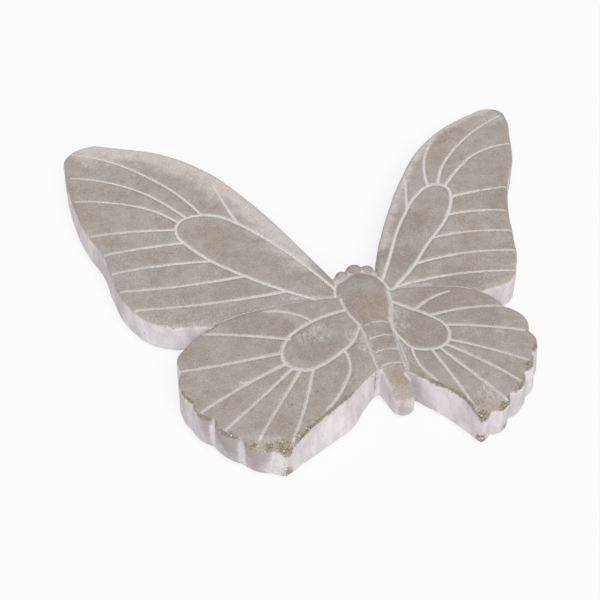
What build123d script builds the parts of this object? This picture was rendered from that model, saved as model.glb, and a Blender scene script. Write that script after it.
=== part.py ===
"""Cast cement butterfly plaque with carved, whitewashed veins, lying flat on rubber pads.

Millimetres, +Z up, head towards +Y. Outlines are drawn about the middle of the body, and the finished
pieces are moved so that the origin is the middle of the underside of the whole ornament.
"""
import os

from build123d import *

# Heights
PAD_THICKNESS = 1.5
FOREWING_THICKNESS = 16.0
HINDWING_STEP = 1.6
THORAX_RISE = 3.9
ABDOMEN_RISE = 2.0

# Edges of the casting
FOREWING_ROUND = 3.0
HINDWING_ROUND = 1.0
NOTCH_ROUND = 0.8
TAIL_TIP_ROUND = 1.8
TAIL_WEAR_RUN = 7.0
TAIL_WEAR_DROP = 3.5

# Carved veins and the wash that fills them
CELL_WIDTH = 1.6
VEIN_WIDTH = 1.6
VEIN_TIP_WIDTH = 0.9
BODY_GROOVE_WIDTH = 1.8
GROOVE_DEPTH = 1.2
WASH_DROP = 0.3

# Thorax: a round back between the wings, longer behind its widest place than in front of it
THORAX_CENTRE = (3.0, 20.5)
BODY_LEAN = 2.0
THORAX_HALF_WIDTH = 10.9
THORAX_FRONT = 17.5
THORAX_BACK = 24.0

# Head lobes: place from the thorax centre, radius; each is a ball whose centre lies below the hindwing top
HEAD_LOBES = [((-7.0, 16.0), 3.9), ((-0.1, 18.6), 4.6), ((6.2, 17.8), 3.8)]
HEAD_SINK = 2.0

# Abdomen, behind the thorax centre, and its rings, evenly spaced between the first and the last
ABDOMEN_START = 10.5
ABDOMEN_LENGTH = 39.0
ABDOMEN_HALF_WIDTH = 6.6
ABDOMEN_END_HALF_WIDTH = 5.9
RING_COUNT = 4
FIRST_RING = 10.5
LAST_RING_TO_END = 1.0
RING_WIDTH = 1.0
RING_DEPTH = 0.8

# Tail: distance behind the abdomen, bend to the right and height of each section; the last one is its end
TAIL_SECTIONS = [(5.0, 0.8, 16.2), (9.0, 1.7, 12.6), (12.2, 2.2, 9.2), (14.2, 2.4, 6.0), (15.2, 2.5, 2.8)]
TAIL_HALF_WIDTH = 5.2
TAIL_END_RADIUS = 5.6
TAIL_ARCH = 0.2
TAIL_OVERLAP = 0.5

# Rubber pads
PAD_DIAMETER = 12.0
PAD_PLACES = [(-108, 128), (97, 128), (-68, -28), (54, -22), (13.5, -26.5)]

# Margin of each forewing from the front of the body round the wing tip, then its root under the hindwing
LEFT_FOREWING = [
    (-4, 26.5), (-18, 61.4), (-37.7, 106.2), (-57.9, 139.6), (-78.6, 158.5), (-103, 169.7), (-120, 174.3),
    (-132, 165.8), (-133.4, 150), (-131.3, 122), (-126, 97), (-118.8, 77), (-115.7, 57), (-110.5, 38.5),
    (-99.5, 23), (-80, 17),
]
LEFT_FOREWING_ROOT = [(-40, 8), (0, 8)]
RIGHT_FOREWING = [
    (9, 26), (19.3, 59.1), (28.9, 81.5), (43.7, 110.8), (58.9, 134.6), (79.1, 153.9), (97.4, 164.1),
    (110, 168.2), (117.8, 164.3), (118.8, 155.2), (115.3, 138.9), (110.6, 119.7), (99.4, 93.5), (93.4, 73.8),
    (89.8, 54.8), (84.6, 33.6), (77.2, 20.2), (66, 17),
]
RIGHT_FOREWING_ROOT = [(40, 8), (5, 8)]

# Hindwings: front margin, scallops as (next notch, bulge) up to the tail, inner margin from tail to body
LEFT_HINDWING_FRONT = [
    (6, 20), (-25, 22.3), (-45, 20.8), (-62, 17.3), (-75, 11), (-85, 2.5), (-91, -7), (-89.7, -14.2),
]
LEFT_SCALLOPS = [
    ((-87, -34.6), 3.4), ((-79, -45.4), 3.5), ((-68.7, -57.8), 4.2), ((-56.4, -65.6), 3.6),
    ((-51.3, -68.6), 0.8),
]
LEFT_HINDWING_INNER = [(-46, -65), (-37, -57), (-27, -49.6), (-16, -41.5), (-8, -34), (-1, -29.2), (9, -28)]
RIGHT_HINDWING_FRONT = [(1, 20), (25, 22.3), (42, 20.3), (55, 15.8), (62.5, 9.5), (67, 0.5)]
RIGHT_SCALLOPS = [
    ((72.6, -17.6), 4.0), ((69.1, -32.2), 3.3), ((61.8, -43.1), 2.6), ((51.6, -54.5), 3.4),
    ((41.2, -62.2), 3.4), ((36.4, -66.4), 0.8),
]
RIGHT_HINDWING_INNER = [(34, -62.8), (31, -55), (26.5, -48.2), (19.5, -41.8), (13, -34.8), (1, -28)]

# Foot of each hindwing's inner wall, which leans out below the margin
LEFT_INNER_FOOT = [(-46, -64.6), (-36.5, -59.2), (-27, -53.4), (-17, -46.6), (-9.5, -36.8), (-2, -28.4)]
RIGHT_INNER_FOOT = [(34.5, -63.2), (31, -57.2), (26.5, -50.2), (20.3, -42.4), (14, -34)]
INNER_WALL_LAP = 0.4

# Cell of each wing, out of the body in front, round its outer end and back into the body
LEFT_FORE_CELL = [
    (-4.5, 18), (-20, 49.5), (-38, 77), (-48, 89), (-56, 96), (-66, 99.5), (-74, 98.5), (-79.5, 92.5),
    (-79.8, 85), (-75, 75), (-66, 62.5), (-52, 48.5), (-36, 35), (-18, 22.5), (-8, 16),
]
RIGHT_FORE_CELL = [
    (9.5, 20.7), (20, 42.5), (36, 76), (50, 96), (56, 101), (62, 102), (66.3, 99), (67, 93.5), (65, 85),
    (60, 75), (42, 52), (32, 38.5), (17, 22.5), (10, 15),
]
LEFT_HIND_CELL = [
    (0, 12.3), (-18, 10), (-27, 6.5), (-40.5, -4.5), (-43, -11), (-42.5, -18), (-39, -22), (-33, -24),
    (-27, -22), (-17, -16), (-9, -9), (-4.5, -1), (0, 7),
]
RIGHT_HIND_CELL = [
    (7, 19.7), (20, 9.5), (32, -1), (35.5, -6), (36, -13), (33.5, -18), (28, -21), (22, -20.8),
    (16.5, -18.5), (13.5, -13), (10.8, -6), (8, 1),
]

# Veins, each from the cell out to the margin
LEFT_FORE_VEINS = [
    [(-65.5, 99.5), (-72, 113.5), (-90, 138.5), (-108, 155.5), (-128, 166.5)],
    [(-73.5, 98.5), (-80, 108.5), (-100, 130), (-118, 140.5), (-130, 144.5)],
    [(-78, 95.5), (-88, 106.5), (-108, 118), (-129, 123.5)],
    [(-80, 90), (-100, 92.3), (-123, 92.8)],
    [(-77, 78.7), (-95, 78.3), (-117.5, 76.5)],
    [(-66, 62), (-85, 63), (-114.5, 61.3)],
    [(-51, 47.5), (-75, 46), (-112, 47.3)],
    [(-33, 32.5), (-60, 30.8), (-106, 32.7)],
    [(-48, 89), (-51.5, 103), (-56, 124)],
]
RIGHT_FORE_VEINS = [
    [(57, 101), (58, 112), (63, 129), (69, 139.5)],
    [(62.5, 101.5), (67, 113), (82, 133.5), (115, 158.5)],
    [(66, 99.5), (74, 110), (94, 127), (112, 131)],
    [(66.5, 90), (78, 91.8), (97, 93)],
    [(60.5, 75.5), (72, 76.2), (91.5, 73)],
    [(48, 59), (62, 60), (88.5, 57)],
    [(33.5, 40.5), (60, 44), (85.5, 41.5)],
    [(20, 25.5), (50, 29.2), (80, 26.5)],
    [(40.5, 83), (44, 98), (46.5, 110)],
]
LEFT_HIND_VEINS = [
    [(-25, 7.3), (-31, 13), (-46.5, 18.2)],
    [(-38, -2.5), (-55, 3), (-77, 8.5)],
    [(-43, -10.8), (-60, -12.5), (-89, -14)],
    [(-42, -18), (-60, -26.5), (-84, -40.5)],
    [(-40, -21.3), (-55, -35), (-75.5, -53)],
    [(-36.5, -23), (-46, -37), (-63.5, -63)],
    [(-31, -23.5), (-36, -38), (-48.5, -65)],
    [(-14.5, -14), (-14, -24), (-20, -37.5), (-30, -49.5)],
]
RIGHT_HIND_VEINS = [
    [(24.5, 6), (31, 11), (44, 15.7)],
    [(30.5, 0.8), (42, 2.5), (66, 0.7)],
    [(35.5, -6.5), (50, -10), (71, -17.3)],
    [(34.5, -16.5), (48, -24), (66, -36.5)],
    [(32, -19), (46, -33), (59, -49)],
    [(29, -20.8), (38, -37.5), (49.5, -59)],
    [(25, -21), (28, -33), (34.5, -62.5)],
    [(16.5, -18.5), (16.5, -27), (22, -41)],
]

# Stations of the groove along the body: shares of the thorax's front and back on the forewing, and of its
# back and the abdomen's length on the hindwing
FORE_GROOVE_AHEAD = [0.75, 0.3]
FORE_GROOVE_BEHIND = 0.04
HIND_GROOVE_THORAX = [0.02, 0.4]
HIND_GROOVE_ABDOMEN = [0.3, 0.65, 1.0]
BODY_GROOVE_LAP = 0.3

# Chords that turn less than this are straight
STRAIGHT = 1e-5

CASTING_BASE = PAD_THICKNESS
FOREWING_TOP = CASTING_BASE + FOREWING_THICKNESS
HINDWING_TOP = FOREWING_TOP + HINDWING_STEP
HINDWING_THICKNESS = HINDWING_TOP - CASTING_BASE
CLEAR = 2 * (HINDWING_THICKNESS + THORAX_RISE)
BODY = Pos(*THORAX_CENTRE, 0) * Rot(0, 0, BODY_LEAN)
BACKBONE = Axis((0, 0, 0), (0, -1, 0))


def round_back(half_width, rise):
    """Radius of a back this wide and high over the wings, and how deep its axis lies below them."""
    radius = (half_width ** 2 + rise ** 2) / (2 * rise)
    return radius, radius - rise


def flank(behind, top):
    """Half the width of the body this far behind the thorax centre, where it meets a wing with this top."""
    halves = []
    length = THORAX_BACK if behind > 0 else THORAX_FRONT
    if abs(behind) < length:
        radius, depth = round_back(THORAX_HALF_WIDTH, THORAX_RISE)
        curve, drop = round_back(length, THORAX_RISE)
        across = radius - curve + (curve ** 2 - behind ** 2) ** 0.5
        halves.append((across ** 2 - (depth - HINDWING_TOP + top) ** 2) ** 0.5)
    if behind >= ABDOMEN_START:
        taper = (ABDOMEN_HALF_WIDTH - ABDOMEN_END_HALF_WIDTH) / ABDOMEN_LENGTH
        halves.append(ABDOMEN_HALF_WIDTH - taper * (behind - ABDOMEN_START))
    return max(halves)


def body_groove(stations, side, top):
    """Middle of the groove along one side of the body, at these distances behind the thorax centre."""
    points = []
    for behind in stations:
        across = flank(behind, top) + BODY_GROOVE_WIDTH / 2 - BODY_GROOVE_LAP
        place = (BODY * Pos(side * across, -behind, 0)).position
        points.append((place.X, place.Y))
    return points


def outward_arc(start, end, bulge):
    """Arc from start to end that stands off its chord, to the right of it for a positive bulge."""
    chord = end - start
    side = Vector(chord.Y, -chord.X).normalized()
    return ThreePointArc(start, (start + end) / 2 + side * bulge, end)


def tangents(points):
    """Direction at each point: that of the circle through it and its two neighbours."""
    chords = [after - before for before, after in zip(points, points[1:])]
    inner = []
    for before, after in zip(chords, chords[1:]):
        inner.append((before / before.length ** 2 + after / after.length ** 2).normalized())

    def mirrored(tangent, chord):
        along = chord.normalized()
        return along * (2 * along.dot(tangent)) - tangent

    return [mirrored(inner[0], chords[0]), *inner, mirrored(inner[-1], chords[-1])]


def tangent_arc(start, end, direction):
    """Arc that leaves start in this direction, or a line where the end lies straight ahead."""
    chord = end - start
    if abs(direction.cross(chord.normalized()).Z) < STRAIGHT:
        return Line(start, end)
    return TangentArc(start, end, tangent=direction)


def biarc(start, end, leave, arrive):
    """Two arcs that meet smoothly and run from start to end with the given directions."""
    span = end - start
    turn = 2 * (1 - leave.dot(arrive))
    pull = span.dot(leave + arrive)
    if turn < STRAIGHT:
        reach = span.dot(span) / (2 * pull)
    else:
        reach = ((pull ** 2 + turn * span.dot(span)) ** 0.5 - pull) / turn
    near = start + leave * reach
    far = end - arrive * reach
    middle = (near + far) / 2
    return [tangent_arc(start, middle, leave), tangent_arc(middle, end, (far - near).normalized())]


def smooth_line(points):
    """Chain of arcs through the points without a corner."""
    points = [Vector(*point) for point in points]
    if len(points) == 3:
        return [ThreePointArc(*points)]
    ways = tangents(points)
    edges = []
    for i in range(len(points) - 1):
        edges += biarc(points[i], points[i + 1], ways[i], ways[i + 1])
    return edges


def top_edges(slab):
    return slab.faces().sort_by(Axis.Z)[-1].edges()


def upright_edges(slab, places):
    """Upright edges of a slab that stand at the given places in plan."""
    places = [Vector(*place) for place in places]
    chosen = ShapeList()
    for edge in slab.edges().filter_by(Axis.Z):
        foot = Vector(edge.center().X, edge.center().Y)
        if min((foot - place).length for place in places) < NOTCH_ROUND / 4:
            chosen.append(edge)
    return chosen


def forewing(margin, root):
    outline = smooth_line(margin) + [Polyline(margin[-1], *root, margin[0])]
    slab = Pos(0, 0, CASTING_BASE) * extrude(make_face(outline), FOREWING_THICKNESS)
    return fillet(top_edges(slab), FOREWING_ROUND)


def tail_wear(tip, inner):
    """Wedge that takes the top off a worn wing tail, from a line short of its tip down past the tip."""
    inward = (Vector(*inner) - Vector(*tip)).normalized()
    start = Vector(*tip) + inward * TAIL_WEAR_RUN + Vector(0, 0, HINDWING_TOP)
    slope = (inward * -TAIL_WEAR_RUN - Vector(0, 0, TAIL_WEAR_DROP)).normalized()
    across = Vector(inward.Y, -inward.X)
    wedge = Box(CLEAR, CLEAR, CLEAR, align=(Align.MIN, Align.CENTER, Align.MIN))
    return Plane(start, x_dir=slope, z_dir=slope.cross(across)) * wedge


def leaning_wall(margin, foot, inside):
    """Inner wall of a hindwing, from its foot up to just inside the margin."""
    rim = []
    for point in margin:
        inward = (Vector(*inside) - Vector(*point)).normalized() * INNER_WALL_LAP
        rim.append((point[0] + inward.X, point[1] + inward.Y))
    faces = []
    for line, height in ((foot, CASTING_BASE), (rim, HINDWING_TOP - HINDWING_ROUND)):
        outline = smooth_line(line) + [Polyline(line[-1], inside, line[0])]
        faces.append(Pos(0, 0, height) * make_face(outline))
    return loft(faces, ruled=True)


def hindwing(front, scallops, inner, foot, bulge_side, cell):
    outline = smooth_line(front)
    start = front[-1]
    for notch, bulge in scallops:
        outline.append(outward_arc(Vector(*start), Vector(*notch), bulge_side * bulge))
        start = notch
    tip = start
    outline += smooth_line([tip, *inner])
    outline.append(Line(inner[-1], front[0]))
    slab = Pos(0, 0, CASTING_BASE) * extrude(make_face(outline), HINDWING_THICKNESS)
    notches = [front[-1], *(notch for notch, bulge in scallops[:-1])]
    slab = fillet(upright_edges(slab, notches), NOTCH_ROUND)
    slab = fillet(upright_edges(slab, [tip]), TAIL_TIP_ROUND)
    slab = fillet(top_edges(slab), HINDWING_ROUND)
    outer_end = cell[len(cell) // 2]
    return slab + leaning_wall(inner[:-1], foot, outer_end) - tail_wear(tip, outer_end)


def thorax():
    """Round back on upright walls, widest at its centre and falling to the wings in front and behind."""
    radius, depth = round_back(THORAX_HALF_WIDTH, THORAX_RISE)
    front = TangentArc((radius, 0), (depth, THORAX_FRONT), tangent=(0, 1))
    back = TangentArc((radius, 0), (depth, -THORAX_BACK), tangent=(0, -1))
    spine = Polyline(front @ 1, (0, THORAX_FRONT), (0, -THORAX_BACK), back @ 1)
    half = make_face([front, back, spine])
    hump = revolve(half, BACKBONE, 180) + extrude(half + mirror(half, Plane.YZ), -CLEAR)
    above_base = Box(CLEAR, THORAX_FRONT + THORAX_BACK, CLEAR, align=(Align.CENTER, Align.CENTER, Align.MIN))
    room = Pos(0, (THORAX_FRONT - THORAX_BACK) / 2, CASTING_BASE) * above_base
    return BODY * (Pos(0, 0, HINDWING_TOP - depth) * hump & room)


def head():
    centre_height = HINDWING_TOP - HEAD_SINK
    lobes = Part()
    for place, radius in HEAD_LOBES:
        wall = Pos(0, 0, CASTING_BASE) * extrude(Circle(radius), centre_height - CASTING_BASE)
        lobes += Pos(*place, 0) * (wall + Pos(0, 0, centre_height) * Sphere(radius))
    return BODY * lobes


def abdomen_back(inset):
    """Round back of the abdomen, tapering to the tail, drawn in by the inset all round."""
    radius, depth = round_back(ABDOMEN_HALF_WIDTH, ABDOMEN_RISE)
    end_radius = (ABDOMEN_END_HALF_WIDTH ** 2 + depth ** 2) ** 0.5
    start = -ABDOMEN_START
    end = start - ABDOMEN_LENGTH
    half = Polyline((0, start), (radius - inset, start), (end_radius - inset, end), (0, end), close=True)
    return BODY * Pos(0, 0, HINDWING_TOP - depth) * revolve(make_face(half), BACKBONE, 180)


def arch(behind, bend, half_width, height):
    """Upright section of the tail: a flat foot, straight sides and an arched top."""
    plane = Plane((bend, -ABDOMEN_START - behind, CASTING_BASE), x_dir=(1, 0, 0), z_dir=(0, -1, 0))
    shoulder = (1 - TAIL_ARCH) * height
    sides = Polyline((-half_width, shoulder), (-half_width, 0), (half_width, 0), (half_width, shoulder))
    top = ThreePointArc((half_width, shoulder), (0, height), (-half_width, shoulder))
    return plane * make_face([sides, top])


def tail():
    """Blunt end of the body, falling from the abdomen to the ground between the hindwings."""
    depth = round_back(ABDOMEN_HALF_WIDTH, ABDOMEN_RISE)[1]
    root_height = HINDWING_THICKNESS + (ABDOMEN_END_HALF_WIDTH ** 2 + depth ** 2) ** 0.5 - depth
    sections = [arch(ABDOMEN_LENGTH - TAIL_OVERLAP, 0, ABDOMEN_END_HALF_WIDTH, root_height)]
    for behind, bend, height in TAIL_SECTIONS:
        sections.append(arch(ABDOMEN_LENGTH + behind, bend, TAIL_HALF_WIDTH, height))
    behind, bend, height = TAIL_SECTIONS[-1]
    ahead = Rectangle(CLEAR, CLEAR, align=(Align.CENTER, Align.MIN))
    round_end = Circle(TAIL_END_RADIUS) + ahead
    plan = Pos(bend, TAIL_END_RADIUS - ABDOMEN_START - ABDOMEN_LENGTH - behind) * round_end
    return BODY * (loft(sections) & extrude(plan, CLEAR))


def stroke(points, start_width, end_width):
    """Carved line through the points, as a flat face that narrows evenly and ends round."""
    points = [Vector(*point) for point in points]
    if len(points) == 3:
        arc = ThreePointArc(*points)
        ways = [arc % 0, arc % arc.param_at_point(points[1]), arc % 1]
    else:
        ways = tangents(points)
    left = []
    right = []
    for i, (point, way) in enumerate(zip(points, ways)):
        half = (start_width + (end_width - start_width) * i / (len(points) - 1)) / 2
        across = Vector(-way.Y, way.X) * half
        left.append(point + across)
        right.append(point - across)
    tip = ThreePointArc(left[-1], points[-1] + ways[-1] * (end_width / 2), right[-1])
    root = ThreePointArc(right[0], points[0] - ways[0] * (start_width / 2), left[0])
    return make_face([*smooth_line(left), tip, *smooth_line(right), root])


def carving(cell, veins, groove, top):
    """Cutter for all grooves of one wing, open to the air above the wing's top."""
    lines = stroke(cell, CELL_WIDTH, CELL_WIDTH) + stroke(groove, BODY_GROOVE_WIDTH, BODY_GROOVE_WIDTH)
    for vein in veins:
        lines += stroke(vein, VEIN_WIDTH, VEIN_TIP_WIDTH)
    return Pos(0, 0, top - GROOVE_DEPTH) * extrude(lines, CLEAR)


def ring_cutters():
    """Arches that carve the rings of the abdomen, standing on the hindwing's top."""
    skin = abdomen_back(-WASH_DROP) - abdomen_back(RING_DEPTH)
    pitch = (ABDOMEN_LENGTH - FIRST_RING - LAST_RING_TO_END) / (RING_COUNT - 1)
    cutters = []
    for i in range(RING_COUNT):
        behind = ABDOMEN_START + FIRST_RING + i * pitch
        window = Box(CLEAR, RING_WIDTH, CLEAR, align=(Align.CENTER, Align.CENTER, Align.MIN))
        cutters.append(skin & (BODY * Pos(0, -behind, HINDWING_TOP) * window))
    return cutters


def foot_pad(place):
    return Pos(*place, 0) * extrude(Circle(PAD_DIAMETER / 2), PAD_THICKNESS)


left_forewing = forewing(LEFT_FOREWING, LEFT_FOREWING_ROOT)
right_forewing = forewing(RIGHT_FOREWING, RIGHT_FOREWING_ROOT)
left_hindwing = hindwing(
    LEFT_HINDWING_FRONT, LEFT_SCALLOPS, LEFT_HINDWING_INNER, LEFT_INNER_FOOT, 1, LEFT_HIND_CELL
)
right_hindwing = hindwing(
    RIGHT_HINDWING_FRONT, RIGHT_SCALLOPS, RIGHT_HINDWING_INNER, RIGHT_INNER_FOOT, -1, RIGHT_HIND_CELL
)
hindwings = left_hindwing + right_hindwing
body = thorax() + head() + abdomen_back(0) + tail()
uncarved = left_forewing + right_forewing + hindwings + body

fore_stations = [-share * THORAX_FRONT for share in FORE_GROOVE_AHEAD]
fore_stations.append(FORE_GROOVE_BEHIND * THORAX_BACK)
hind_stations = [share * THORAX_BACK for share in HIND_GROOVE_THORAX]
hind_stations += [ABDOMEN_START + share * ABDOMEN_LENGTH for share in HIND_GROOVE_ABDOMEN]

# The hindwings and the body stand over the forewings, so a forewing's grooves stop at them
carvings = {
    "left_forewing_wash": (LEFT_FORE_CELL, LEFT_FORE_VEINS, fore_stations, -1, FOREWING_TOP),
    "right_forewing_wash": (RIGHT_FORE_CELL, RIGHT_FORE_VEINS, fore_stations, 1, FOREWING_TOP),
    "left_hindwing_wash": (LEFT_HIND_CELL, LEFT_HIND_VEINS, hind_stations, -1, HINDWING_TOP),
    "right_hindwing_wash": (RIGHT_HIND_CELL, RIGHT_HIND_VEINS, hind_stations, 1, HINDWING_TOP),
}
cutters = {}
for name, (cell, veins, stations, side, top) in carvings.items():
    cutters[name] = carving(cell, veins, body_groove(stations, side, top), top) - body
    if top == FOREWING_TOP:
        cutters[name] -= hindwings
for number, cutter in enumerate(ring_cutters(), start=1):
    cutters[f"abdomen_ring_wash_{number}"] = cutter

# The wash lies in each groove a little below the stone beside it
casting = uncarved
for cutter in cutters.values():
    casting -= cutter
pieces = {"cement_casting": casting}
wash_level = Pos(0, 0, -WASH_DROP) * uncarved
for name, cutter in cutters.items():
    pieces[name] = cutter & wash_level
for number, place in enumerate(PAD_PLACES, start=1):
    pieces[f"foot_pad_{number}"] = foot_pad(place)

middle = casting.bounding_box().center()
os.makedirs("parts", exist_ok=True)
for name, piece in pieces.items():
    export_step(Pos(-middle.X, -middle.Y, 0) * piece, f"parts/{name}.step")
print(f"moved by {-middle.X:.4f}, {-middle.Y:.4f}")
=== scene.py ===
"""Dresses the cast cement butterfly: worn cement, rubbed-back whitewash, dark rubber pads, white studio."""
from math import cos, pi, radians, sin

import bmesh
import bpy
import numpy as np
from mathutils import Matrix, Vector
from mathutils.bvhtree import BVHTree


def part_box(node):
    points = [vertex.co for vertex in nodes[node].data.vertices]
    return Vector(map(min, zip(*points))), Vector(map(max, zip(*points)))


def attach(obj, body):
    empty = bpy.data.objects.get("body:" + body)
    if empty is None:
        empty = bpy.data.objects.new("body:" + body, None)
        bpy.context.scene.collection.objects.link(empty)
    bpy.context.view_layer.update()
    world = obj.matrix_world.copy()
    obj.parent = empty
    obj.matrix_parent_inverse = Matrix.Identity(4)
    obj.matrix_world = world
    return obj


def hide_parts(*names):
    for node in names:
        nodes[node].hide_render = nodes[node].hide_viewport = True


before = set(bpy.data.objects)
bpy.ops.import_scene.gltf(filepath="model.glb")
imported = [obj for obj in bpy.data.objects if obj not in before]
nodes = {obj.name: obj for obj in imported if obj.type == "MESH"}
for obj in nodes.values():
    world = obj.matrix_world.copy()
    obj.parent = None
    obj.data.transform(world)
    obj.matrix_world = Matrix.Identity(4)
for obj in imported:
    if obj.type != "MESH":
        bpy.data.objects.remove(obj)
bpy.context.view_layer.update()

MM = 0.001

# Skin of the casting: its grid, and the height and size of its unevenness
VOXEL = 0.55 * MM
SKIN_TRIANGLES = 190_000
NOISE_CELLS = 48
WAVE = (0.18 * MM, 24 * MM)
LUMP = (0.08 * MM, 5 * MM)
GRAIN = (0.05 * MM, 1.3 * MM)
CHIP_DEPTH = 0.8 * MM
CHIP_SIZE = 2.2 * MM
CHIP_SEED = 4
CHIP_NOISE = (0.2, 1.0)
LEAST_WEAR = 0.15
CRUMB_DEPTH = 0.4 * MM
CRUMB_SIZE = 1.2 * MM
CRUMB_SEED = 5
FOREWING_TOP = 17.6 * MM

# Edges and creases, by how many voxels they stand out or lie back
EDGE_RISE = (0.15, 0.65)
CREASE_FALL = (0.12, 0.5)
BETWEEN_CREASES = (0.5, 0.05)

# Slopes, by the upward share of the normal: walls, tops, the underside and crumbled corners
WALL_SLOPE = (0.1, 0.95)
TOP_SLOPE = (0.4, 0.8)
UNDER_SLOPE = (0.5, 0.9)
GRIT_SLOPE = (-0.1, 0.6)
WASH_TOP = 0.5

# Rim of the top, by its depth below the highest point, with the gain of its wear and grit
RIM_START = 9 * MM
RIM_FULL = 6 * MM
RIM_WEAR = 2.4
RIM_GRIT = 1.5

# Rounds of averaging over neighbouring vertices, which set how far each mask reaches
LIP_ROUNDS = 3
EDGE_ROUNDS = 14
CREASE_ROUNDS = 40
WALL_ROUNDS = 24
RIM_ROUNDS = 8
LEAN_ROUNDS = 6

# Wash beside the carved veins, the haze that rubbing left round them, and where the wash is thinner
FEATHER = 0.7 * MM
HAZE = 6.0 * MM
WASH_CORE = 0.8 * MM
WASH_CUTS = 3
SAME_PLACE = 1e-6
BODY_RUB = 0.35
BODY_THIN = 0.8
HINDWING_THIN = 0.55
HINDWING_RUB = 0.65

# Colours of the cement, of the films of wash on it, of the coat on its walls, of worn places and of the pads
STONE_BROWN = (0.382, 0.323, 0.282)
STONE_GREY = (0.420, 0.379, 0.353)
STONE_TAN = (0.345, 0.278, 0.228)
STONE_DULL = (0.325, 0.272, 0.242)
GROOVE_STONE = (0.40, 0.355, 0.325)
MARGIN_FILM = (0.63, 0.575, 0.545)
SMUDGE_FILM = (0.60, 0.565, 0.545)
SEAM_FILM = (0.58, 0.54, 0.52)
SPECK_WHITE = (0.74, 0.70, 0.66)
LINE_WHITE = (0.665, 0.633, 0.615)
WASH_WHITE = (0.78, 0.75, 0.735)
WASH_GREY = (0.50, 0.46, 0.435)
COAT_WHITE = (0.755, 0.705, 0.72)
COAT_GREY = (0.55, 0.50, 0.515)
# Coat where it is darker: on the flutes, at the tail's end and in its grain
COAT_DARK = (0.385, 0.34, 0.345)
# Painted shade for walls that neighbouring parts shade
COAT_SHADE = (0.36, 0.325, 0.345)
EARTH_DARK = (0.175, 0.132, 0.098)
EARTH_PALE = (0.30, 0.245, 0.195)
SAND_DARK = (0.15, 0.112, 0.08)
SAND_PALE = (0.37, 0.31, 0.25)
SAND_GRAIN = (0.64, 0.60, 0.54)
# Painted shade inside pinholes
PINHOLE_SHADE = (0.12, 0.10, 0.095)
RUBBER_BLACK = (0.022, 0.020, 0.019)
RUBBER_DUST = (0.10, 0.092, 0.085)

SPECULAR = 0.25

# Photograph: where the camera looks, from where, and through what lens
TARGET = Vector((-20.47, -29.03, 18.3)) * MM
AZIMUTH = radians(-11)
ELEVATION = radians(42)
DISTANCE = 600 * MM
LENS = 75
NEAR_CLIP = 10 * MM

# Studio: white floor with a faint shadow, even light from all round, and one broad light from the front
FLOOR_SIZE = 8.0
FLOOR_WHITE = 0.9
SHADOW_SHARE = 0.25
AMBIENT = 0.42
KEY_DIRECTION = (0.0, -0.64, 0.77)
KEY_LEVEL = 0.72
KEY_SPREAD = 50

# Places on the casting in millimetres, in plan or in space, each with its reach
WORN_EDGES = [
    ((-81, -84.5), 8), ((-75, -97.5), 8), ((-66, -108.5), 10), ((-55, -116.5), 12), ((-44, -119.5), 12),
    ((-36, -114.5), 13), ((-29, -109.5), 12), ((-21, -103.5), 10), ((-12, -97.5), 7),
    ((79.5, -81), 4.5), ((72.5, -92), 5.5), ((65, -104), 7), ((54.5, -113), 9), ((44, -117.5), 12),
    ((40, -110.5), 12), ((36.5, -102.5), 11), ((30.5, -95.5), 8), ((24.5, -88.5), 5), ((-64, -42), 6),
]
CRUMBLED = [
    ((-57.5, -115), 3), ((-51, -117.5), 4), ((-44.5, -119), 6), ((-37, -115.5), 4), ((-32, -111.5), 3),
    ((-81, -84.5), 2.5), ((-66, -108.5), 2.5), ((44, -117.5), 6), ((54.5, -113.5), 3.5), ((65, -104.5), 3),
    ((72.5, -92), 2.5),
]
CHIPPED = [
    ((-43.5, -120.5, 16), 4.5), ((-43.5, -121.3, 4), 4.5), ((43, -117.5, 16.5), 4), ((43.5, -118.8, 4), 4.5),
    ((56.5, -113.5, 4), 2.5), ((14, -93.5, 14), 2),
]
SMUDGES = [
    ((-17, -54.5), 8), ((-24, -56.5), 5), ((-112, 103), 6), ((-96, 112.5), 6), ((117, 104), 9),
    ((23, -47.5), 6), ((22.5, -56.5), 5), ((0, -58.5), 6), ((3, -67.5), 5), ((20, -69.5), 5),
    ((50, -106.5), 7),
]
DROPS = [((-54.6, -79.8), 3.6), ((-56.8, -79.0), 2.6)]
TANS = [
    ((9.5, -42.5), 15), ((13, -65.5), 6), ((13.5, -86.5), 5), ((-82, 104.5), 10), ((89, 97), 7),
    ((82, 89), 6),
]
DULL = [
    ((30, -62), 22), ((45, -43), 16), ((58, -48), 14), ((63, -60), 10), ((-48, -40), 14), ((-34, -47), 10),
    ((-20, -62), 14), ((105, 30), 20), ((45, 20), 14), ((35, -5), 12), ((60, -28), 14),
]
# Flutes where the coat is darker, more so towards the top
DARKER_FLUTES = [((-76, -98.5), 6), ((-67, -107.5), 12), ((-56, -115.5), 11), ((-88, -81.5), 3)]
DARKENING_FOOT = 2 * MM
DARKENING_TOP = 16 * MM
DARKENING_LEAST = 0.6
DARKENING_GAIN = 0.5
# The tail's end, where the coat is darker
DARKER_TAIL_END = [((14, -98, 6), 6)]
# Painted shade: the corner between the tail and the right hindwing, the left forewing's lower wall that the
# left hindwing shades, and the left hindwing's inner wall by the body
SHADED = [((20.5, -88, 13), 6), ((-92, -42, 10), 17), ((-4.6, -103.8, 12), 14)]
# A chain of pinholes, with painted shade inside
PITTED = [((3.9, -83.5, 17.5 - 1.6 * i), 0.9) for i in range(7)]

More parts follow.
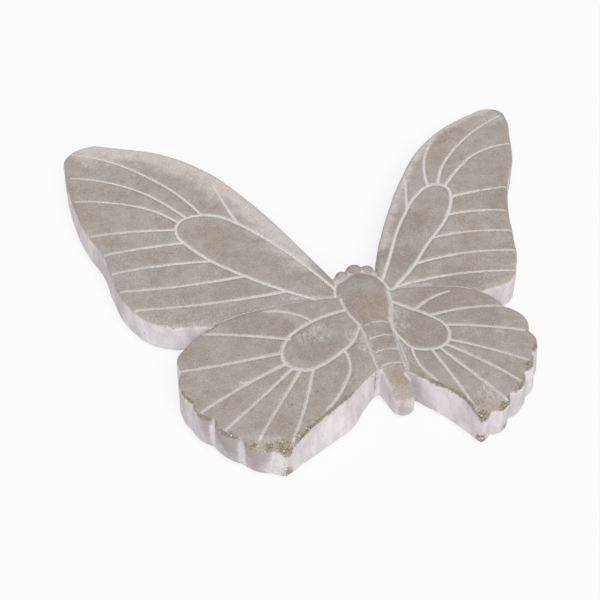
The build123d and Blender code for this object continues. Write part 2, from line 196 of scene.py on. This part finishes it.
# Lines in plan, most with a reach: front margins and seams under thin wash, the body, the right wall that
# leans out, and the foot that the left flutes fade out to
FRONT_MARGINS = [
    ([(-10, 8), (-30, 53), (-50, 86), (-71, 105), (-95, 116), (-110, 119)], 20),
    ([(27, 6), (36, 28), (51, 58), (66, 81), (86, 101), (105, 111), (117, 115)], 7),
]
FILM_LINES = [
    ([(22, -28), (21.5, -41), (18.6, -51.5), (18.4, -63), (18, -75), (18.2, -84)], 2.0),
    ([(24, -29), (34, -28), (44, -29)], 2.2), ([(-2, -30), (-12, -28), (-24, -26)], 2.2),
]
BODY_LINES = [([(10.4, -32.5), (12, -60), (14, -86)], 16)]
LEANING_WALLS = [([(81.5, -63), (81.7, -76), (77, -86), (71, -96)], 8)]
LEAN = 0.08
LEAN_BLEND = 0.6
FLUTE_FOOT = [
    (-84.2, -63), (-85, -75), (-83.6, -83), (-80.8, -89), (-77, -94.5), (-72.4, -99.6), (-68, -105),
    (-61.8, -111.6), (-56, -116), (-51, -118.4),
]
FLUTE_REACH = 5
FLUTE_BLEND = 1.5
FLUTE_FADE = 0.65
FADE_START = 6 * MM
FADE_FULL = 19 * MM


def vertex_array(mesh, field):
    values = np.empty(len(mesh.vertices) * 3)
    mesh.vertices.foreach_get(field, values)
    return values.reshape(-1, 3)


def edge_array(mesh):
    ends = np.empty(len(mesh.edges) * 2, int)
    mesh.edges.foreach_get("vertices", ends)
    return ends.reshape(-1, 2)


def averaged(values, edges, rounds):
    """Each vertex's values, averaged with its neighbours' this many times."""
    count = np.bincount(edges.ravel(), minlength=len(values))[:, None]
    for _ in range(rounds):
        total = np.zeros_like(values)
        for here, there in (edges.T, edges.T[::-1]):
            for column in range(values.shape[1]):
                total[:, column] += np.bincount(here, values[there, column], len(values))
        values = 0.5 * values + 0.5 * total / count
    return values


def blurred(mask, edges, rounds):
    """A mask averaged with its neighbours this many times."""
    return averaged(mask[:, None], edges, rounds)[:, 0]


def noise(points, size, seed):
    """Smooth noise from -1 to 1 whose bumps have about this size."""
    lattice = np.random.default_rng(seed).uniform(-1, 1, (NOISE_CELLS,) * 3)
    cell = np.floor(points / size).astype(int)
    part = points / size - cell
    part = part * part * (3 - 2 * part)
    total = np.zeros(len(points))
    for corner in np.ndindex(2, 2, 2):
        share = np.where(corner, part, 1 - part).prod(axis=1)
        total += share * lattice[tuple(((cell + corner) % NOISE_CELLS).T)]
    return total


def ramp(values, low, high):
    """0 below low, 1 above high, and smooth between."""
    part = np.clip((values - low) / (high - low), 0, 1)
    return part * part * (3 - 2 * part)


def near(points, places):
    """1 at the given places, falling to 0 at the reach of each."""
    closeness = np.zeros(len(points))
    for place, reach in places:
        away = np.linalg.norm(points[:, :len(place)] / MM - place, axis=1)
        closeness = np.maximum(closeness, 1 - away / reach)
    return closeness


def to_line(points, line):
    """The step in plan from each point to the nearest place on a line, in millimetres."""
    plan = points[:, :2] / MM
    steps = np.full(plan.shape, np.inf)
    for start, end in zip(np.array(line, float), np.array(line[1:], float)):
        along = end - start
        share = np.clip((plan - start) @ along / (along @ along), 0, 1)
        step = start + share[:, None] * along - plan
        nearer = np.linalg.norm(step, axis=1) < np.linalg.norm(steps, axis=1)
        steps[nearer] = step[nearer]
    return steps


def beside(points, lines):
    """1 on the given lines in plan, falling to 0 at the reach of each."""
    closeness = np.zeros(len(points))
    for line, reach in lines:
        closeness = np.maximum(closeness, 1 - np.linalg.norm(to_line(points, line), axis=1) / reach)
    return closeness


def evaluated(mesh, kind, **settings):
    """The mesh after one modifier of this kind."""
    holder = bpy.data.objects.new("holder", mesh)
    bpy.context.scene.collection.objects.link(holder)
    modifier = holder.modifiers.new("step", kind)
    for name, value in settings.items():
        setattr(modifier, name, value)
    graph = bpy.context.evaluated_depsgraph_get()
    result = bpy.data.meshes.new_from_object(holder.evaluated_get(graph))
    bpy.data.objects.remove(holder)
    return result


def set_attribute(mesh, name, values):
    mesh.attributes.new(name, "FLOAT", "POINT").data.foreach_set("value", values.astype(np.float32))


def wash_distance(points):
    """How far each point is in plan from the wash in the carved lines, up to the reach of the haze."""
    corners = []
    faces = []
    for name, node in nodes.items():
        if "wash" in name:
            start = len(corners)
            corners += [vertex.co.copy() for vertex in node.data.vertices]
            faces += [[start + i for i in face.vertices] for face in node.data.polygons]
    tree = BVHTree.FromPolygons(corners, faces)
    distance = np.full(len(points), HAZE)
    for i, point in enumerate(points):
        place = tree.find_nearest(point, HAZE)[0]
        if place is not None:
            distance[i] = np.hypot(place.x - point[0], place.y - point[1])
    return distance


def standing_out(points, normals, edges, rounds):
    """How far each point stands out from the mean of what is round it, in voxels."""
    return ((points - averaged(points, edges, rounds)) * normals).sum(axis=1) / VOXEL


def bent(points, normals, edges, top):
    """The points with the left flutes faded out, and the right wall leaning out, towards the foot."""
    points = points.copy()
    step = to_line(points, FLUTE_FOOT)
    share = ramp(FLUTE_REACH - np.linalg.norm(step, axis=1), 0, FLUTE_BLEND)
    share *= FLUTE_FADE * ramp(top - points[:, 2], FADE_START, FADE_FULL)
    points[:, :2] += step * MM * share[:, None]
    leaning = LEAN * ramp(beside(points, LEANING_WALLS), 0, LEAN_BLEND) * (top - points[:, 2])
    points += averaged(normals, edges, LEAN_ROUNDS) * (1, 1, 0) * leaning[:, None]
    return points


def roughened(points, normals, edge, worn, grit):
    """The points with waves, lumps, grain, chips and crumbs; the underside stays flat."""
    bumps = enumerate((WAVE, LUMP, GRAIN), 1)
    depth = sum(height * noise(points, size, seed) for seed, (height, size) in bumps)
    chipped = ramp(noise(points, CHIP_SIZE, CHIP_SEED) + worn + grit, *CHIP_NOISE)
    depth -= CHIP_DEPTH * edge * chipped * np.maximum(worn, LEAST_WEAR)
    depth -= CRUMB_DEPTH * grit * np.abs(noise(points, CRUMB_SIZE, CRUMB_SEED))
    underside = ramp(-normals[:, 2], *UNDER_SLOPE)
    return points + normals * (depth * (1 - underside))[:, None]


def wash_masks(points, normals):
    """Masks of the films, lines and marks that wash and rubbing left, by name."""
    distance = wash_distance(points)
    facing = ramp(normals[:, 2], *TOP_SLOPE)
    body = beside(points, BODY_LINES)
    hindwing = ramp(points[:, 2], FOREWING_TOP, FOREWING_TOP + MM)
    return {
        "vein": (1 - np.clip(distance / FEATHER, 0, 1)) * (1 - BODY_RUB * body),
        "haze": 1 - np.clip(distance / HAZE, 0, 1),
        "front": beside(points, FRONT_MARGINS),
        "film": beside(points, FILM_LINES),
        "speckled": (1 - HINDWING_RUB * hindwing) * (1 - body),
        "smudge": near(points, SMUDGES) * facing,
        "drop": near(points, DROPS) * facing,
        "tan": near(points, TANS),
        "dull": near(points, DULL),
        "shaded": near(points, SHADED),
        "pitted": near(points, PITTED),
    }


def casting_skin():
    """Fine skin of the casting: uneven, with soft groove lips, chipped edges and masks for its material."""
    source = nodes["cement_casting"].data.copy()
    source.materials.clear()
    mesh = evaluated(source, "REMESH", mode="VOXEL", voxel_size=VOXEL)
    edges = edge_array(mesh)
    points = averaged(vertex_array(mesh, "co"), edges, LIP_ROUNDS)
    mesh.vertices.foreach_set("co", points.ravel())
    mesh.update()
    normals = vertex_array(mesh, "normal")
    low, high = (np.array(corner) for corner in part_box("cement_casting"))

    # Sharp edges stand out from the mean of what is round them, and creases lie below it
    edge = ramp(standing_out(points, normals, edges, EDGE_ROUNDS), *EDGE_RISE)
    crease = ramp(-standing_out(points, normals, edges, CREASE_ROUNDS), *CREASE_FALL)
    wall = 1 - ramp(normals[:, 2], *WALL_SLOPE)
    wall = np.where(points[:, 2] < FOREWING_TOP, blurred(wall, edges, WALL_ROUNDS), wall)
    rim = edge * ramp(points[:, 2], high[2] - RIM_START, high[2] - RIM_FULL)
    worn = np.sqrt(near(points, WORN_EDGES)) * np.clip(RIM_WEAR * blurred(rim, edges, RIM_ROUNDS), 0, 1)
    grit = near(points, CRUMBLED) * ramp(normals[:, 2] + RIM_GRIT * rim, *GRIT_SLOPE)
    grit = np.maximum(grit, near(points, CHIPPED))

    points = roughened(bent(points, normals, edges, high[2]), normals, edge, worn, grit)
    mesh.vertices.foreach_set("co", points.ravel())

    # The coat is darker on the flutes, more so towards the top, and the creases between them stay pale
    flute = ramp(blurred(crease, edges, CREASE_ROUNDS), *BETWEEN_CREASES)
    height = ramp(points[:, 2], DARKENING_FOOT, DARKENING_TOP)
    darker_coat = near(points, DARKER_FLUTES) * flute * (DARKENING_LEAST + DARKENING_GAIN * height)
    masks = wash_masks(points, normals)
    masks["darker_coat"] = np.maximum(darker_coat, near(points, DARKER_TAIL_END))
    masks |= {"crease": crease, "wall": wall, "worn": worn, "grit": grit}
    for name, values in masks.items():
        set_attribute(mesh, name, values)

    triangles = 2 * len(mesh.polygons)
    mesh = evaluated(mesh, "DECIMATE", ratio=min(1, SKIN_TRIANGLES / triangles))
    mesh.vertices.foreach_set("co", np.clip(vertex_array(mesh, "co"), low, high).ravel())
    mesh.shade_smooth()
    return mesh


def wash_skin(node):
    """A wash node with a finer top, and masks of how far its groove's sides are and of where it is thin."""
    mesh = node.data
    sides = [face.vertices for face in mesh.polygons if face.normal.z < WASH_TOP]
    tree = BVHTree.FromPolygons([vertex.co for vertex in mesh.vertices], sides)
    shape = bmesh.new()
    shape.from_mesh(mesh)
    bmesh.ops.remove_doubles(shape, verts=shape.verts, dist=SAME_PLACE)
    tops = [edge for edge in shape.edges if len(edge.link_faces) == 2]
    tops = [edge for edge in tops if min(face.normal.z for face in edge.link_faces) > WASH_TOP]
    bmesh.ops.subdivide_edges(shape, edges=tops, cuts=WASH_CUTS)
    bmesh.ops.triangulate(shape, faces=shape.faces)
    skin = bpy.data.meshes.new(node.name)
    shape.to_mesh(skin)
    shape.free()
    points = vertex_array(skin, "co")
    distance = np.array([tree.find_nearest(point)[3] for point in points])
    set_attribute(skin, "side", np.clip(distance / WASH_CORE, 0, 1))
    hindwing = HINDWING_THIN * ramp(points[:, 2], FOREWING_TOP, FOREWING_TOP + MM)
    set_attribute(skin, "thin", np.maximum(hindwing, BODY_THIN * beside(points, BODY_LINES)))
    return skin


class Material:
    """A node material around one principled shader, built from left to right."""

    def __init__(self, name, roughness):
        self.material = bpy.data.materials.new(name)
        self.material.use_nodes = True
        self.tree = self.material.node_tree
        self.shader = self.tree.nodes["Principled BSDF"]
        self.shader.inputs["Roughness"].default_value = roughness
        self.shader.inputs["Specular IOR Level"].default_value = SPECULAR
        self.place = self.node("ShaderNodeTexCoord").outputs["Object"]

    def node(self, kind, **settings):
        made = self.tree.nodes.new(kind)
        for name, value in settings.items():
            setattr(made, name, value)
        return made

    def link(self, value, socket):
        if isinstance(value, bpy.types.NodeSocket):
            self.tree.links.new(value, socket)
        else:
            socket.default_value = value

    def noise(self, size, detail=4, rough=0.6, stretch=None):
        place = self.place
        if stretch:
            mapping = self.node("ShaderNodeMapping")
            mapping.inputs["Scale"].default_value = stretch
            self.link(place, mapping.inputs["Vector"])
            place = mapping.outputs["Vector"]
        texture = self.node("ShaderNodeTexNoise")
        self.link(place, texture.inputs["Vector"])
        texture.inputs["Scale"].default_value = 1 / size
        texture.inputs["Detail"].default_value = detail
        texture.inputs["Roughness"].default_value = rough
        return texture.outputs["Fac"]

    def spots(self, size, dimensions="3D"):
        texture = self.node("ShaderNodeTexVoronoi", voronoi_dimensions=dimensions)
        self.link(self.place, texture.inputs["Vector"])
        texture.inputs["Scale"].default_value = 1 / size
        return texture.outputs["Distance"]

    def attribute(self, name):
        return self.node("ShaderNodeAttribute", attribute_name=name).outputs["Fac"]

    def broken(self, name, texture):
        """A mask whose edge a texture breaks up."""
        return self.math("ADD", self.attribute(name), texture)

    def math(self, operation, first, second):
        made = self.node("ShaderNodeMath", operation=operation)
        self.link(first, made.inputs[0])
        self.link(second, made.inputs[1])
        return made.outputs[0]

    def ramp(self, value, low, high, to_low=0.0, to_high=1.0):
        made = self.node("ShaderNodeMapRange", interpolation_type="SMOOTHSTEP")
        for socket, number in zip(made.inputs, (value, low, high, to_low, to_high)):
            self.link(number, socket)
        return made.outputs["Result"]

    def mix(self, share, first, second, blend="MIX"):
        made = self.node("ShaderNodeMix", data_type="RGBA", blend_type=blend)
        self.link(share, made.inputs["Factor"])
        for socket, colour in ((made.inputs[6], first), (made.inputs[7], second)):
            self.link(colour if isinstance(colour, bpy.types.NodeSocket) else (*colour, 1), socket)
        return made.outputs[2]

    def bump(self, height, depth, strength):
        made = self.node("ShaderNodeBump")
        made.inputs["Distance"].default_value = depth
        made.inputs["Strength"].default_value = strength
        self.link(height, made.inputs["Height"])
        self.link(made.outputs["Normal"], self.shader.inputs["Normal"])

    def colour(self, value):
        self.link(value, self.shader.inputs["Base Color"])


def stone_colour(m, grain):
    """Warm grey cement with brown and dull patches, under what is left of the wash."""
    patches = m.ramp(m.noise(13 * MM, 4, 0.65), 0.36, 0.64)
    stone = m.mix(patches, STONE_BROWN, STONE_GREY)
    tan = m.broken("tan", m.noise(15 * MM, 4, 0.65))
    stone = m.mix(m.ramp(tan, 0.55, 1.15, 0, 0.8), stone, STONE_TAN)
    haze = m.math("MULTIPLY", m.attribute("haze"), m.ramp(m.noise(8 * MM, 5, 0.7), 0.4, 0.75, 0, 0.4))
    stone = m.mix(haze, stone, WASH_GREY)
    dull = m.broken("dull", m.noise(9 * MM, 4, 0.7))
    stone = m.mix(m.ramp(dull, 0.5, 1.0, 0, 0.6), stone, STONE_DULL)

    front = m.broken("front", m.ramp(m.noise(8 * MM, 5, 0.6), 0.1, 0.9, 0.15, 0.85))
    stone = m.mix(m.ramp(front, 0.55, 1.3, 0, 0.9), stone, MARGIN_FILM)
    scratches = m.ramp(m.noise(1.6 * MM, 5, 0.8, (1, 0.4, 1)), 0.42, 0.6)
    smudge = m.math("MULTIPLY", m.ramp(m.attribute("smudge"), 0, 0.5), scratches)
    stone = m.mix(m.math("MULTIPLY", smudge, 0.7), stone, SMUDGE_FILM)
    film = m.broken("film", m.noise(1.6 * MM, 5, 0.75))
    stone = m.mix(m.ramp(film, 0.65, 1.2, 0, 0.75), stone, SEAM_FILM)

    stone = m.mix(1.0, stone, m.ramp(grain, 0.2, 0.8, 0.76, 1.24), "MULTIPLY")
    cloud = m.ramp(m.noise(4.5 * MM, 5, 0.7), 0.25, 0.75, 0.91, 1.09)
    stone = m.mix(1.0, stone, cloud, "MULTIPLY")
    gathered = m.math("MULTIPLY", m.ramp(m.noise(11 * MM, 3), 0.42, 0.65), m.attribute("speckled"))
    specks = m.math("MULTIPLY", m.ramp(m.spots(1.9 * MM, "2D"), 0.19, 0.12), gathered)
    stone = m.mix(m.math("MULTIPLY", specks, 0.45), stone, SPECK_WHITE)
    wash = m.math("MAXIMUM", m.attribute("vein"), m.attribute("crease"))
    wash = m.math("ADD", m.math("MAXIMUM", wash, m.attribute("drop")), m.noise(1.0 * MM, 4, 0.7))
    return m.mix(m.ramp(wash, 0.9, 1.3, 0, 0.75), stone, LINE_WHITE)


def coat_colour(m, grain):
    """Wash left on the walls, in streaks, darker on the flutes and at the tail's end, with painted shade
    where neighbouring parts shade the walls.
    """
    streaks = m.noise(9 * MM, 5, 0.65, (1, 1, 0.45))
    coat = m.mix(m.ramp(streaks, 0.35, 0.7), COAT_WHITE, COAT_GREY)
    # Darker coat on the flutes and at the tail's end
    darker_coat = m.broken("darker_coat", m.noise(4 * MM, 4, 0.65))
    coat = m.mix(m.ramp(darker_coat, 0.5, 1.25, 0, 0.95), coat, COAT_DARK)
    # Painted shade where neighbouring parts shade the walls
    shaded = m.broken("shaded", m.noise(3 * MM, 4, 0.65))
    coat = m.mix(m.ramp(shaded, 0.6, 1.2, 0, 0.45), coat, COAT_SHADE)
    return m.mix(m.ramp(grain, 0.45, 0.25, 0, 0.3), coat, COAT_DARK)


def cement():
    """Cement under rubbed-back wash, with earth on worn edges, sand in crumbled places and pinholes with
    painted shade inside.
    """
    m = Material("cement", 0.9)
    grain = m.noise(0.8 * MM, 3, 0.75)
    wall = m.broken("wall", m.ramp(m.noise(3 * MM, 6, 0.75), 0, 1, -0.3, 0.3))
    surface = m.mix(m.ramp(wall, 0.25, 0.8), stone_colour(m, grain), coat_colour(m, grain))

    rough = m.ramp(m.noise(1.3 * MM, 5, 0.8), 0.2, 0.8, -0.5, 0.5)
    earth = m.mix(m.ramp(grain, 0.35, 0.65), EARTH_DARK, EARTH_PALE)
    surface = m.mix(m.ramp(m.broken("worn", rough), 0.3, 0.8, 0, 0.8), surface, earth)
    sand = m.mix(m.ramp(grain, 0.38, 0.60), SAND_DARK, SAND_PALE)
    sand = m.mix(m.ramp(m.spots(1.9 * MM), 0.26, 0.18), sand, SAND_GRAIN)
    surface = m.mix(m.ramp(m.broken("grit", rough), 0.25, 0.65, 0, 0.9), surface, sand)

    # Pinholes: painted shade inside each pit, with a dent in the bump
    hole = m.ramp(m.spots(7 * MM), 0.065, 0.04)
    hole = m.math("MAXIMUM", hole, m.ramp(m.attribute("pitted"), 0.2, 0.5))
    m.colour(m.mix(m.math("MULTIPLY", hole, 0.7), surface, PINHOLE_SHADE))
    height = m.math("ADD", m.noise(0.7 * MM, 4, 0.7), m.math("MULTIPLY", hole, -1.5))
    m.bump(height, 0.25 * MM, 0.5)
    return m.material


def whitewash():
    """Chalky wash, crumbled at the sides of its groove and thinner on the body and in patches."""
    m = Material("whitewash", 0.95)
    crumbs = m.ramp(m.noise(0.9 * MM, 5, 0.8), 0.2, 0.8, -0.5, 0.5)
    thin = m.attribute("thin")
    patches = m.ramp(m.noise(6 * MM, 4, 0.7), 0.45, 0.75, 0, 0.35)
    bare = m.math("ADD", patches, m.math("MULTIPLY", thin, 0.12))
    cover = m.math("SUBTRACT", m.broken("side", crumbs), bare)
    chalk = m.mix(m.math("MULTIPLY", thin, 0.45), WASH_WHITE, WASH_GREY)
    chalk = m.mix(m.ramp(m.noise(0.5 * MM, 3, 0.7), 0.6, 0.3, 0, 0.8), chalk, WASH_GREY)
    m.colour(m.mix(m.ramp(cover, -0.2, 0.35), GROOVE_STONE, chalk))
    m.bump(m.noise(0.6 * MM, 4, 0.75), 0.3 * MM, 0.6)
    return m.material


def rubber():
    """Dark rubber with a fine moulded grain and dust on it."""
    m = Material("rubber", 0.7)
    dust = m.ramp(m.noise(2.5 * MM, 5, 0.7), 0.5, 0.75, 0, 0.5)
    m.colour(m.mix(dust, RUBBER_BLACK, RUBBER_DUST))
    m.bump(m.noise(0.4 * MM, 3), 0.1 * MM, 0.5)
    return m.material


def dress(node, material):
    node.data.materials.clear()
    node.data.materials.append(material)


def place(name, mesh, material, slot, node_name):
    """Puts a mesh in the scene in place of a node."""
    piece = bpy.data.objects.new(name, mesh)
    bpy.context.scene.collection.objects.link(piece)
    dress(piece, material)
    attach(piece, "root")
    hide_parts(node_name)


def white_to_camera(tree, lit, output):
    """Shows the lit shader, and plain white to the camera, in reflections and through glass."""
    light_path = tree.nodes.new("ShaderNodeLightPath")
    seen = light_path.outputs["Is Camera Ray"]
    for name in ("Is Glossy Ray", "Is Transmission Ray"):
        either = tree.nodes.new("ShaderNodeMath")
        either.operation = "MAXIMUM"
        tree.links.new(seen, either.inputs[0])
        tree.links.new(light_path.outputs[name], either.inputs[1])
        seen = either.outputs[0]
    mix = tree.nodes.new("ShaderNodeMixShader")
    tree.links.new(lit, mix.inputs[1])
    tree.links.new(mix.outputs[0], output)
    return seen, mix


def studio_floor():
    half = FLOOR_SIZE / 2
    mesh = bpy.data.meshes.new("floor")
    corners = [(-half, -half, 0), (half, -half, 0), (half, half, 0), (-half, half, 0)]
    mesh.from_pydata(corners, [], [(0, 1, 2, 3)])
    floor = bpy.data.objects.new("floor", mesh)
    bpy.context.scene.collection.objects.link(floor)
    material = bpy.data.materials.new("floor")
    material.use_nodes = True
    tree = material.node_tree
    tree.nodes.remove(tree.nodes["Principled BSDF"])
    paper = tree.nodes.new("ShaderNodeBsdfDiffuse")
    paper.inputs["Color"].default_value = (FLOOR_WHITE, FLOOR_WHITE, FLOOR_WHITE, 1)
    seen, mix = white_to_camera(tree, paper.outputs[0], tree.nodes["Material Output"].inputs["Surface"])
    glow = tree.nodes.new("ShaderNodeEmission")
    tree.links.new(glow.outputs[0], mix.inputs[2])
    share = tree.nodes.new("ShaderNodeMath")
    share.operation = "MULTIPLY"
    share.inputs[1].default_value = 1 - SHADOW_SHARE
    tree.links.new(seen, share.inputs[0])
    tree.links.new(share.outputs[0], mix.inputs[0])
    mesh.materials.append(material)


def studio_world():
    world = bpy.data.worlds.new("studio")
    world.use_nodes = True
    tree = world.node_tree
    soft = tree.nodes["Background"]
    soft.inputs["Color"].default_value = (1, 1, 1, 1)
    soft.inputs["Strength"].default_value = AMBIENT
    seen, mix = white_to_camera(tree, soft.outputs[0], tree.nodes["World Output"].inputs["Surface"])
    plain = tree.nodes.new("ShaderNodeBackground")
    plain.inputs["Color"].default_value = (1, 1, 1, 1)
    tree.links.new(plain.outputs[0], mix.inputs[2])
    tree.links.new(seen, mix.inputs[0])
    bpy.context.scene.world = world


def soft_light(name, direction, level, spread):
    """Broad studio light from this direction that lights a surface facing it to this level."""
    lamp = bpy.data.lights.new(name, "SUN")
    lamp.energy = level * pi
    lamp.angle = radians(spread)
    light = bpy.data.objects.new(name, lamp)
    light.rotation_euler = Vector(direction).to_track_quat("Z", "Y").to_euler()
    bpy.context.scene.collection.objects.link(light)


def photo_camera():
    data = bpy.data.cameras.new("camera")
    data.lens = LENS
    data.clip_start = NEAR_CLIP
    camera = bpy.data.objects.new("camera", data)
    bpy.context.scene.collection.objects.link(camera)
    towards = Vector((sin(AZIMUTH) * cos(ELEVATION), -cos(AZIMUTH) * cos(ELEVATION), sin(ELEVATION)))
    camera.location = TARGET + towards * DISTANCE
    camera.rotation_euler = towards.to_track_quat("Z", "Y").to_euler()
    bpy.context.scene.camera = camera


place("cast_cement", casting_skin(), cement(), "cement", "cement_casting")
chalk = whitewash()
pad = rubber()
for name, node in list(nodes.items()):
    if "wash" in name:
        place(name.replace("wash", "chalk"), wash_skin(node), chalk, "whitewash", name)
    elif name.startswith("foot_pad"):
        dress(node, pad)

studio_floor()
studio_world()
soft_light("key", KEY_DIRECTION, KEY_LEVEL, KEY_SPREAD)
photo_camera()
bpy.context.scene.view_settings.view_transform = "Standard"
